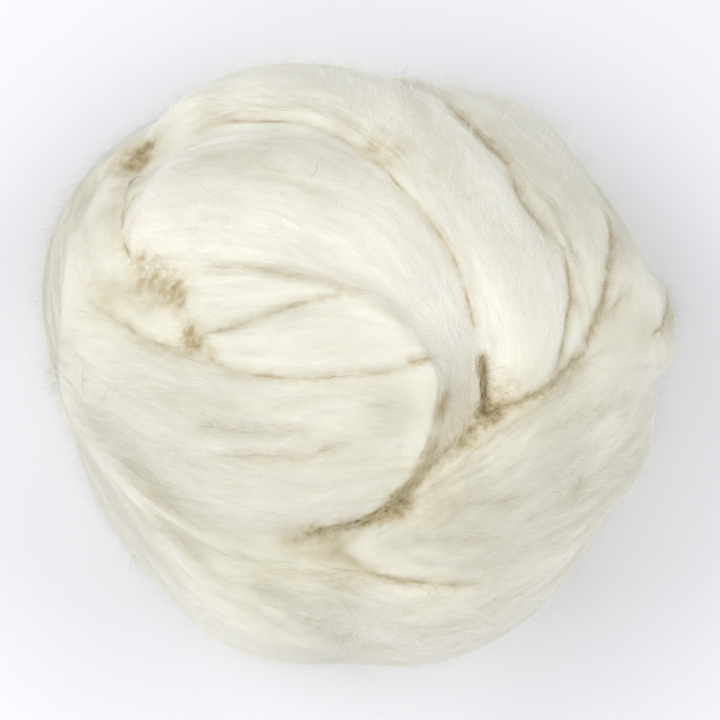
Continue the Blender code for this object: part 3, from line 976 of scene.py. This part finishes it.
def strand_wool():
    """Undyed wool with comb marks along the strand, pass tone with painted shade and light, and
    straw colour in the folds from painted shade and stains.
    """
    paint, shader = wool_shader("undyed_wool")
    tree = paint.node_tree
    chart = add_node(tree, "UVMap", {}).outputs["UV"]
    colour = PALE_WOOL
    for comb in COMBS:
        marks = add_node(tree, "Group", {
            "Chart": chart, "Across per Metre": comb.across, "Along per Metre": comb.along,
            "Contrast": comb.contrast}, node_tree=comb_marks)
        colour = mix_colour(tree, marks.outputs["Mask"], colour, SHADE_WOOL)
    colour = mix_tone_and_shade(tree, colour, 1.0)
    # painted shade deep in folds, by the shelter chart
    deep = scaled(tree, stored(tree, "shelter"), SHELTERED, FOLDED, "SMOOTHSTEP")
    colour = mix_colour(tree, deep, colour, FOLD_SHADE_WOOL)
    tree.links.new(stain_and_shade_colour(tree, colour), shader.inputs["Base Color"])
    bump = add_node(tree, "Bump", {**COMB_BUMP, "Height": marks.outputs["Height"]})
    tree.links.new(bump.outputs["Normal"], shader.inputs["Normal"])
    return paint


wool.data.materials.append(strand_wool())
print("materials", [paint.name for paint in bpy.data.materials])

# %% [markdown]
# ## Fibres on the wool
# A combed strand still has single fibres lying on it, a little across the comb's way, and
# their ends lift. Each fibre is a narrow ribbon that follows the wool at a small height.
# Many thousand are worked out at once with arrays and joined in a few meshes.

# %% Ribbons from lines of places
def add_ribbons(name, lines, widths, tones):
    """One mesh of ribbons. lines: (count, steps, 3); widths: (count, steps)."""
    count, steps = lines.shape[:2]
    normals = unit((lines - BALL_CENTRE) / BALL_HALF**2)
    forward = unit(np.gradient(lines, axis=1))
    across = unit(np.cross(forward, normals)) * (widths / 2)[..., None]
    places = np.stack([lines - across, lines + across], axis=2).reshape(-1, 3)
    base = (np.arange(count)[:, None] * steps + np.arange(steps - 1)[None]) * 2
    quads = np.stack([base, base + 1, base + 3, base + 2], axis=-1).reshape(-1, 4)
    mesh = bpy.data.meshes.new(name)
    mesh.vertices.add(len(places))
    mesh.vertices.foreach_set("co", places.ravel())
    mesh.loops.add(quads.size)
    mesh.loops.foreach_set("vertex_index", quads.ravel())
    mesh.polygons.add(len(quads))
    mesh.polygons.foreach_set("loop_start", np.arange(0, quads.size, 4))
    mesh.polygons.foreach_set("loop_total", np.full(len(quads), 4))
    mesh.update(calc_edges=True)
    write_value(mesh, "tone", np.repeat(tones, steps * 2))
    write_charts(mesh, direction_of(places - BALL_CENTRE))
    mesh.shade_smooth()
    piece = bpy.data.objects.new(name, mesh)
    bpy.context.scene.collection.objects.link(piece)
    return piece


def read_skin(grid, i, j):
    """Values between grid places, for arrays of row and column numbers."""
    rows, columns = grid.shape[:2]
    i = np.clip(i, 0, rows - 1.001)
    j = np.clip(j, 0, columns - 1.001)
    i0 = np.floor(i).astype(int)
    j0 = np.floor(j).astype(int)
    return between(grid, i0, j0, (i - i0)[..., None], (j - j0)[..., None])


def taper(steps, least):
    """Width along a fibre as a share: full in the middle, narrow at both ends."""
    return np.sqrt(np.clip(1 - np.linspace(-1, 1, steps)[None] ** 2, least, 1))


def add_coat(name, lines, widths, tones, paint):
    """Add ribbons as a finished piece of one material."""
    piece = add_ribbons(name, lines, widths, tones)
    piece.data.materials.append(paint)
    pieces[name] = piece
    print(name, len(lines), "fibres,", len(piece.data.polygons) * 2, "triangles")


# %% Lay fibres along the passes
# count: fibres aimed for. length, height, width: metres. slant: spread of the slope across
# the comb. lift: how far the ends may stand off, metres.
Coat = namedtuple("Coat", "name count steps length slant height lift width")
COATS = (
    Coat("lying_fibres", 13000, 7, (0.022, 0.055), 0.08, (0.00002, 0.00015), 0.0002, 0.00008),
    Coat("loose_fibres", 8000, 8, (0.010, 0.028), 0.28, (0.0002, 0.0008), 0.0014, 0.00005),
    Coat("halo_fibres", 13000, 7, (0.006, 0.018), 0.36, (0.0001, 0.0014), 0.0080, 0.00004),
    Coat("fuzz", 16000, 5, (0.003, 0.010), 0.42, (0.0001, 0.0010), 0.0080, 0.00004),
)
SEEN = 1.5 * MM              # a place this little below the merged wool is seen
CROSSING = 3.0 * MM          # a fibre with a part sunk deeper than this crosses a fold
EDGE = 0.12                  # share of the columns left out on each side of a pass
LOWEST_FIBRE = 3.0 * MM      # over the floor
TRIES = 2.6                  # places tried for each fibre wanted
BOW, SWAY, SWAY_TURNS, LIFT_TURNS = 0.10, 0.02, 9, 5
COAT_SEED, TANGLE_SEED, FOLD_SEED = 100, 77, 31


def sunk(place):
    """How far a place lies below the merged wool, metres."""
    return read_both(surface, direction_of(place)) - rise_of(place)


def scatter(rng, count):
    """Random places on the seen wool: for each pass, row and column numbers."""
    kept = []
    area = [spine.at[-1] * spine.half.mean() for spine in spines.values()]
    for skin, share in zip(skins, np.array(area) / sum(area)):
        tries = int(count * TRIES * share)
        rows, columns = skin.points.shape[:2]
        i = rng.uniform(2, rows - 3, tries)
        j = rng.uniform(columns * EDGE, columns * (1 - EDGE), tries)
        place = read_skin(skin.points, i, j)
        keep = (sunk(place) < SEEN) & (place[:, 2] > LOWEST_FIBRE - BALL_CENTRE[2])
        kept.append((skin, i[keep], j[keep]))
    found = sum(len(i) for _, i, _ in kept)
    share = min(1.0, count / found)
    return [(skin, i[:int(len(i) * share)], j[:int(len(j) * share)]) for skin, i, j in kept]


def lay_coat(coat, seed, paint):
    """Lay one coat of fibres over all the passes."""
    rng = np.random.default_rng(seed)
    t = np.linspace(-0.5, 0.5, coat.steps)[None]
    all_lines = []
    for skin, i, j in scatter(rng, coat.count):
        count = len(i)
        if count == 0:
            continue
        step = skin.along[1, 0]
        column = np.ptp(skin.across) / COLUMNS * (1 - CROWDING)
        length = rng.uniform(*coat.length, count)[:, None]
        slant = rng.normal(0, coat.slant, count)[:, None]
        bow = rng.normal(0, BOW, count)[:, None]
        phase = rng.uniform(0, 2 * math.pi, (count, 2))
        sway = np.sin(t * SWAY_TURNS + phase[:, :1]) * length * SWAY
        rows = i[:, None] + t * length / step
        columns = j[:, None] + (t * length * slant + (t**2) * length * bow + sway) / column
        ground = read_skin(skin.points, rows, columns)
        clear = sunk(ground).max(axis=1) < CROSSING
        ground, phase = ground[clear], phase[clear]
        count = len(ground)
        height = rng.uniform(*coat.height, count)[:, None]
        height = height + coat.lift * rng.uniform(0, 1, (count, 1)) * np.abs(
            np.sin(t * LIFT_TURNS + phase[:, 1:])) * np.abs(t) * 2
        all_lines.append(on_wool(direction_of(ground), height))
    lines = np.concatenate(all_lines)
    count = len(lines)
    widths = rng.uniform(0.6, 1.3, (count, 1)) * coat.width * taper(coat.steps, 0.04)
    add_coat(coat.name, lines, widths, rng.uniform(0, 1, count), paint)


# %% Fibre material
FIBRE_TONE_AND_SHADE = 1.30            # fibres take this many times the pass tone, painted shade and painted light of the wool below


def fibre_wool(name, pale, shade, takes_stain_and_shade=False):
    """Fibres, each with its own tone, mixed with the pass tone and painted shade and light below
    them; when the flag is set they also take the stains and painted fold shade below them.
    """
    paint, shader = wool_shader(name, sheen=0.6 if takes_stain_and_shade else 0.1, under=0.0)
    tree = paint.node_tree
    colour = mix_tone_and_shade(tree, mix_colour(tree, stored(tree, "tone"), pale, shade), FIBRE_TONE_AND_SHADE)
    if takes_stain_and_shade:
        colour = mix_colour(tree, stored(tree, "shelter"), colour, FOLD_SHADE_WOOL)
        colour = stain_and_shade_colour(tree, colour)
    tree.links.new(colour, shader.inputs["Base Color"])
    return paint


pale_fibre = fibre_wool("pale_fibre", (0.83, 0.822, 0.758), (0.755, 0.746, 0.672), True)
for number, coat in enumerate(COATS):
    lay_coat(coat, COAT_SEED + number, pale_fibre)

# %% [markdown]
# ## Tangles
# In the darker spots, stained and partly painted with shade, short waste fibres are caught.
# They are curled, they run every way, and they are darker than the rest.

# %% Tangles
TANGLED_FROM = 0.34          # only spots whose stain and painted shade reach this much hold waste fibres
TANGLE_STEPS = 12
TANGLE_PER_DEGREE = 22       # fibres for each degree of a spot's reach, at full stain
TANGLE_WIDTH = 0.06 * MM
TANGLE_LENGTH = (0.8, 4.0)   # degrees
TANGLE_HEIGHT = (0.05, 0.6)  # mm
TANGLE_BEND, TANGLE_WAVE = 2.2, 1.6                  # radians, spread
TANGLE_SCATTER = 0.7         # of the spread given, about each centre
TANGLE_IN_FOLD = 0.25        # share of that along a furrow


def curl_lines(rng, centres, spread, length, height):
    """Curled lines round centres on the top chart, degrees; returns places in space."""
    count = len(centres)
    t = np.linspace(0, 1, TANGLE_STEPS)[None]
    turn = rng.uniform(0, 2 * math.pi, (count, 1))
    bend = rng.normal(0, TANGLE_BEND, (count, 1))
    wave = rng.normal(0, TANGLE_WAVE, (count, 1)) * np.sin(t * rng.uniform(3, 9, (count, 1)))
    heading = turn + bend * t + wave
    step = length[:, None] / TANGLE_STEPS
    east = centres[:, :1] + rng.normal(0, 1, (count, 1)) * spread[:, None] * TANGLE_SCATTER
    north = centres[:, 1:] + rng.normal(0, 1, (count, 1)) * spread[:, None] * TANGLE_SCATTER
    east = east + np.cumsum(np.cos(heading) * step, axis=1)
    north = north + np.cumsum(np.sin(heading) * step, axis=1)
    lift = height[:, None] * np.abs(np.sin(t * math.pi * rng.uniform(0.6, 1.8, (count, 1))))
    return on_top(east, north, lift + 0.05 * MM)


rng = np.random.default_rng(TANGLE_SEED)
centres, spread = [], []
for spot in STAIN_AND_SHADE_SPOTS:
    if spot.share >= TANGLED_FROM:
        count = int(spot.reach**1.5 * spot.share * TANGLE_PER_DEGREE)
        centres += [(spot.east, spot.north)] * count
        spread += [spot.reach * 0.8] * count
for furrow in FURROWS:
    if furrow.stain >= TANGLED_FROM:
        rows = np.array(furrow.places, float)
        span = np.hypot(*(rows[-1] - rows[0]))
        count = int(span * furrow.stain * TANGLE_PER_DEGREE * TANGLE_IN_FOLD)
        at = rng.uniform(0, len(rows) - 1, count)
        i = np.minimum(at.astype(int), len(rows) - 2)
        centres += list(map(tuple, rows[i] + (rows[i + 1] - rows[i]) * (at - i)[:, None]))
        spread += [furrow.width * 0.6] * count
centres, spread = np.array(centres), np.array(spread)
count = len(centres)
lines = curl_lines(rng, centres, spread, rng.uniform(*TANGLE_LENGTH, count),
                   rng.uniform(*TANGLE_HEIGHT, count) * MM)
widths = np.full(lines.shape[:2], TANGLE_WIDTH) * rng.uniform(0.6, 1.3, (count, 1))
waste_fibre = fibre_wool("waste_fibre", (0.73, 0.67, 0.48), (0.44, 0.355, 0.165))
add_coat("tangles", lines, widths, rng.uniform(0, 1, count), waste_fibre)

# %% [markdown]
# ## Stray hairs
# A few single dark hairs lie on the wool, some bent and some curled, as on any fleece that
# has not been bleached. Each has a row of its own: where it starts, how long it is, which
# way it sets out and how far it turns.

# %% Stray hairs
Hair = namedtuple("Hair", "east north length turn bend")       # degrees; radians of turn, bend
HAIRS = [Hair(*row) for row in (
    (-67, -1, 8, 0.1, -0.3), (-58, -3, 3, -0.9, 0.6), (-54, -7, 6, -1.4, -0.3),
    (-58, -13, 7, -1.8, 3.6), (-55, -11, 3, 0.3, 0.3), (-49, -14, 6, -0.2, 1.6),
    (38, -31, 4, 0.9, 0.4), (40, -31, 3, 1.6, 1.0), (34, -33, 5, 0.4, 4.0),
    (26, -55, 1.2, 0.6, 0.2), (-25, -17, 1.0, 0.4, 0.3), (-23, -19, 1.0, 2.0, 0.3),
    (-16, -19, 0.9, 0.9, 0.2), (52, -18, 4, 2.2, 1.8), (-8, 20, 4, 0.4, 1.6),
)]
HAIR_WIDTH = 0.12 * MM
HAIR_HEIGHT = 0.5 * MM

t = np.linspace(0, 1, TANGLE_STEPS)[None]
hairs = Hair(*np.array(HAIRS, float).T[..., None])
heading = hairs.turn + hairs.bend * t
step = hairs.length / TANGLE_STEPS
east = hairs.east + np.cumsum(np.cos(heading) * step, axis=1)
north = hairs.north + np.cumsum(np.sin(heading) * step, axis=1)
lines = on_top(east, north, HAIR_HEIGHT * (0.3 + np.sin(t * math.pi)))
widths = np.full(lines.shape[:2], HAIR_WIDTH) * taper(TANGLE_STEPS, 0.1)
dark_hair = fibre_wool("dark_hair", (0.40, 0.35, 0.25), (0.26, 0.21, 0.13))
add_coat("stray_hairs", lines, widths, np.ones(len(lines)), dark_hair)

# %% [markdown]
# ## Fold fibres
# Along each stained and shaded fold straw-coloured fibres lie in the crease, nearly in line
# with it, so the fold shows as a thin broken line: partly straw fibres, partly painted crease
# shade, darkest in the deep slits.

# %% Fold fibres
FOLDED_FROM = 0.15           # furrows with at least this much stain and painted shade hold fold fibres
FOLD_STEPS = 9
FOLD_PER_DEGREE = 9.0        # fibres for each degree of a furrow, at full stain
FOLD_WIDTH = 0.11 * MM
FOLD_LENGTH = (1.2, 5.0)     # degrees
FOLD_HEIGHT = (0.02, 0.22)   # mm
FOLD_ASIDE, FOLD_SLANT, FOLD_SWAY = 0.16, 0.30, 0.07 # degrees off the crease
DEEP_FROM = 0.5              # mm; furrows deeper than this are slits, bridged by their fibres
DEEP_LIFT = 0.65             # share of the further depth by which those fibres are raised


def fold_lines(rng, furrow):
    """Fold fibres of one furrow: their places in space."""
    at, curve = curve_of(furrow)
    count = int(at[-1] * (0.25 + 0.75 * furrow.stain) * FOLD_PER_DEGREE * furrow.stain)
    length = rng.uniform(*FOLD_LENGTH, (count, 1))
    share = np.linspace(0, 1, 60)
    waves = np.sin(share * rng.uniform(9, 22) + rng.uniform(0, 6)) + np.sin(share * 31 + 2)
    likely = np.sin(share * math.pi) ** 0.5 * (0.25 + np.clip(waves, 0, 2)) + 1e-6
    middle = rng.choice(share, (count, 1), p=likely / likely.sum()) * at[-1]
    middle = middle + rng.normal(0, 0.6, (count, 1))
    t = np.linspace(-0.5, 0.5, FOLD_STEPS)[None]
    along = np.clip(middle + t * length, 0, at[-1])
    east = np.interp(along, at, curve[:, 0])
    north = np.interp(along, at, curve[:, 1])
    way = np.stack([np.gradient(east, axis=1), np.gradient(north, axis=1)], axis=-1)
    way /= np.maximum(np.linalg.norm(way, axis=-1, keepdims=True), 1e-9)
    aside = rng.normal(0, FOLD_ASIDE, (count, 1)) + t * rng.normal(0, FOLD_SLANT, (count, 1))
    turns, phase = rng.uniform(6, 16, (count, 1)), rng.uniform(0, 6, (count, 1))
    aside = aside + FOLD_SWAY * np.sin(t * turns + phase)
    east, north = east - way[..., 1] * aside, north + way[..., 0] * aside
    height = rng.uniform(*FOLD_HEIGHT, (count, 1)) * MM
    height = height + DEEP_LIFT * max(0, furrow.depth - DEEP_FROM) * MM
    return on_top(east, north, height)


rng = np.random.default_rng(FOLD_SEED)
lines, strengths = [], []
for furrow in FURROWS:
    if furrow.stain >= FOLDED_FROM:
        lines.append(fold_lines(rng, furrow))
        strengths.append(np.full(len(lines[-1]), furrow.stain))
lines, strengths = np.concatenate(lines), np.concatenate(strengths)
widths = rng.uniform(0.5, 1.3, (len(lines), 1)) * FOLD_WIDTH * taper(FOLD_STEPS, 0.05)
# painted shade: darker fibres where a furrow holds more stain and shade, as dark lines in the
# slits
tones = np.clip(rng.uniform(-0.35, 0.55, len(lines)) + 0.7 * strengths**2, 0, 1)
straw_and_shade_fibre = fibre_wool("straw_and_shade_fibre", (0.62, 0.54, 0.34), (0.19, 0.115, 0.026))
add_coat("fold_fibres", lines, widths, tones, straw_and_shade_fibre)

# %% [markdown]
# ## Attach the pieces
# Every piece rides on the ball's one body and stands for the solid ball, which is hidden.

# %% Ride, replace
for piece in pieces.values():
    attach(piece, "root")
    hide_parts("roving_ball")

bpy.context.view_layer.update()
